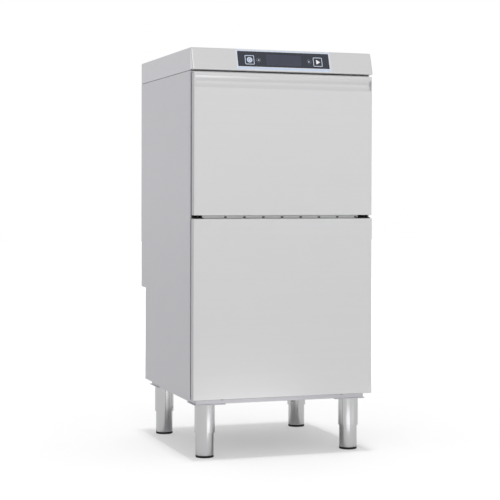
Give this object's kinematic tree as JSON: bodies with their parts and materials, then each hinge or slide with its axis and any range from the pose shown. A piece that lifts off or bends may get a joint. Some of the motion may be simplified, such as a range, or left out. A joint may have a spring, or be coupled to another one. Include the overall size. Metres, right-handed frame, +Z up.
{
  "type": "glass washer machine",
  "caption": "Tall front-loading stainless glass washer: drop-down door, sloped control fascia, lower front panel, stepped sides and adjustable tube legs.",
  "frame": {"origin": "on the floor, under the centre of the cabinet's width and depth", "axes": "+Z up, -Y out of the door, +X to the right seen from the front"},
  "size_m": [0.6, 0.62, 1.27],
  "materials": {
    "front_steel": "satin, brushed across the width",
    "side_steel": "satin, brushed",
    "inner_steel": "smooth satin",
    "leg_steel": "turned, satin",
    "zinc_steel": "dull zinc",
    "pump_metal": "cast, painted grey",
    "bezel_plastic": "silver blue, satin",
    "window_plastic": "dark blue-grey, glossy",
    "screen_plastic": "dark, slightly lighter than the window",
    "key_plastic": "dark blue-grey, glossy",
    "black_plastic": "matt",
    "grey_plastic": "matt",
    "white_plastic": "matt",
    "board_green": "solder mask",
    "black_rubber": "matt"
  },
  "bodies": {
    "cabinet": {"top_cover": "front_steel", "control_fascia": "front_steel", "control_bezel": "bezel_plastic", "control_window": "window_plastic", "display_screen": "screen_plastic", "control_board": "board_green", "left_side_panel": "side_steel", "right_side_panel": "side_steel", "rear_panel_upper": "side_steel", "rear_panel_lower": "side_steel", "lower_front_panel": "front_steel", "cabinet_screws": "zinc_steel", "front_frame": "front_steel", "drip_gutter": "inner_steel", "door_seal": "black_rubber", "hinge_brackets": "zinc_steel", "hinge_pins": "leg_steel", "hinge_covers": "black_plastic", "door_springs": "zinc_steel", "spring_anchors": "zinc_steel", "door_switch": "grey_plastic", "base_frame": "side_steel", "chassis_posts": "zinc_steel", "leg_sleeves": "leg_steel", "wash_chamber": "inner_steel", "wash_tank": "inner_steel", "tank_filter": "inner_steel", "arm_spindles": "grey_plastic", "arm_nuts": "grey_plastic", "rack_guides": "inner_steel", "wash_pump": "pump_metal", "water_pipes": "grey_plastic", "rinse_boiler": "inner_steel", "heating_elements": "zinc_steel", "dosing_pump": "grey_plastic", "electrical_box": "grey_plastic", "inlet_valve": "white_plastic", "drain_outlet": "grey_plastic", "cable_gland": "black_plastic"},
    "door": {"door_outer_skin": "front_steel", "door_inner_skin": "inner_steel", "door_hinge_arms": "zinc_steel", "door_knuckles": "black_plastic", "door_magnet": "grey_plastic"},
    "power_key_body": {"power_key": "key_plastic"},
    "menu_key_body": {"menu_key": "key_plastic"},
    "select_key_body": {"select_key": "key_plastic"},
    "start_key_body": {"start_key": "key_plastic"},
    "front_left_foot_body": {"front_left_foot": "leg_steel"},
    "front_right_foot_body": {"front_right_foot": "leg_steel"},
    "rear_left_foot_body": {"rear_left_foot": "leg_steel"},
    "rear_right_foot_body": {"rear_right_foot": "leg_steel"},
    "overflow": {"overflow_pipe": "grey_plastic"},
    "lower_wash": {"lower_wash_arm": "inner_steel"},
    "lower_rinse": {"lower_rinse_arm": "inner_steel"},
    "upper_wash": {"upper_wash_arm": "inner_steel"},
    "upper_rinse": {"upper_rinse_arm": "inner_steel"},
    "pump_shaft": {"pump_rotor": "leg_steel"},
    "dosing_wheel": {"dosing_rotor": "white_plastic"}
  },
  "joints": [
    {"name": "door_hinge", "type": "hinge", "parent": "cabinet", "child": "door", "pos_m": [0, -0.297, 0.762], "axis": [1, 0, 0], "range_deg": [0, 90], "stiffness_Nm_per_rad": 4.5, "springref_deg": -11.46, "deforming": ["door_springs"]},
    {"name": "power_press", "type": "slide", "parent": "cabinet", "child": "power_key_body", "axis": [0, 0.954, -0.2998], "range_m": [0, 0.0008], "stiffness_N_per_m": 400, "springref_m": -0.001},
    {"name": "menu_press", "type": "slide", "parent": "cabinet", "child": "menu_key_body", "axis": [0, 0.954, -0.2998], "range_m": [0, 0.0008], "stiffness_N_per_m": 150, "springref_m": -0.002},
    {"name": "select_press", "type": "slide", "parent": "cabinet", "child": "select_key_body", "axis": [0, 0.954, -0.2998], "range_m": [0, 0.0008], "stiffness_N_per_m": 150, "springref_m": -0.002},
    {"name": "start_press", "type": "slide", "parent": "cabinet", "child": "start_key_body", "axis": [0, 0.954, -0.2998], "range_m": [0, 0.0008], "stiffness_N_per_m": 400, "springref_m": -0.001},
    {"name": "front_left_level", "type": "slide", "parent": "cabinet", "child": "front_left_foot_body", "axis": [0, 0, -1], "range_m": [-0.02, 0.03]},
    {"name": "front_right_level", "type": "slide", "parent": "cabinet", "child": "front_right_foot_body", "axis": [0, 0, -1], "range_m": [-0.02, 0.03]},
    {"name": "rear_left_level", "type": "slide", "parent": "cabinet", "child": "rear_left_foot_body", "axis": [0, 0, -1], "range_m": [-0.02, 0.03]},
    {"name": "rear_right_level", "type": "slide", "parent": "cabinet", "child": "rear_right_foot_body", "axis": [0, 0, -1], "range_m": [-0.02, 0.03]},
    {"name": "overflow_lift", "type": "slide", "parent": "cabinet", "child": "overflow", "axis": [0, 0, 1], "range_m": [0, 0.02]},
    {"name": "lower_wash_spin", "type": "hinge", "parent": "cabinet", "child": "lower_wash", "pos_m": [0, -0.02, 0.7995], "axis": [0, 0, 1], "continuous": true},
    {"name": "lower_rinse_spin", "type": "hinge", "parent": "cabinet", "child": "lower_rinse", "pos_m": [0, -0.02, 0.812], "axis": [0, 0, 1], "continuous": true},
    {"name": "upper_wash_spin", "type": "hinge", "parent": "cabinet", "child": "upper_wash", "pos_m": [0, -0.02, 1.1565], "axis": [0, 0, 1], "continuous": true},
    {"name": "upper_rinse_spin", "type": "hinge", "parent": "cabinet", "child": "upper_rinse", "pos_m": [0, -0.02, 1.144], "axis": [0, 0, 1], "continuous": true},
    {"name": "pump_spin", "type": "hinge", "parent": "cabinet", "child": "pump_shaft", "pos_m": [-0.12, -0.1, 0.33], "axis": [0, 1, 0], "continuous": true},
    {"name": "dosing_spin", "type": "hinge", "parent": "cabinet", "child": "dosing_wheel", "pos_m": [-0.225, -0.235, 0.52], "axis": [0, 1, 0], "continuous": true}
  ]
}
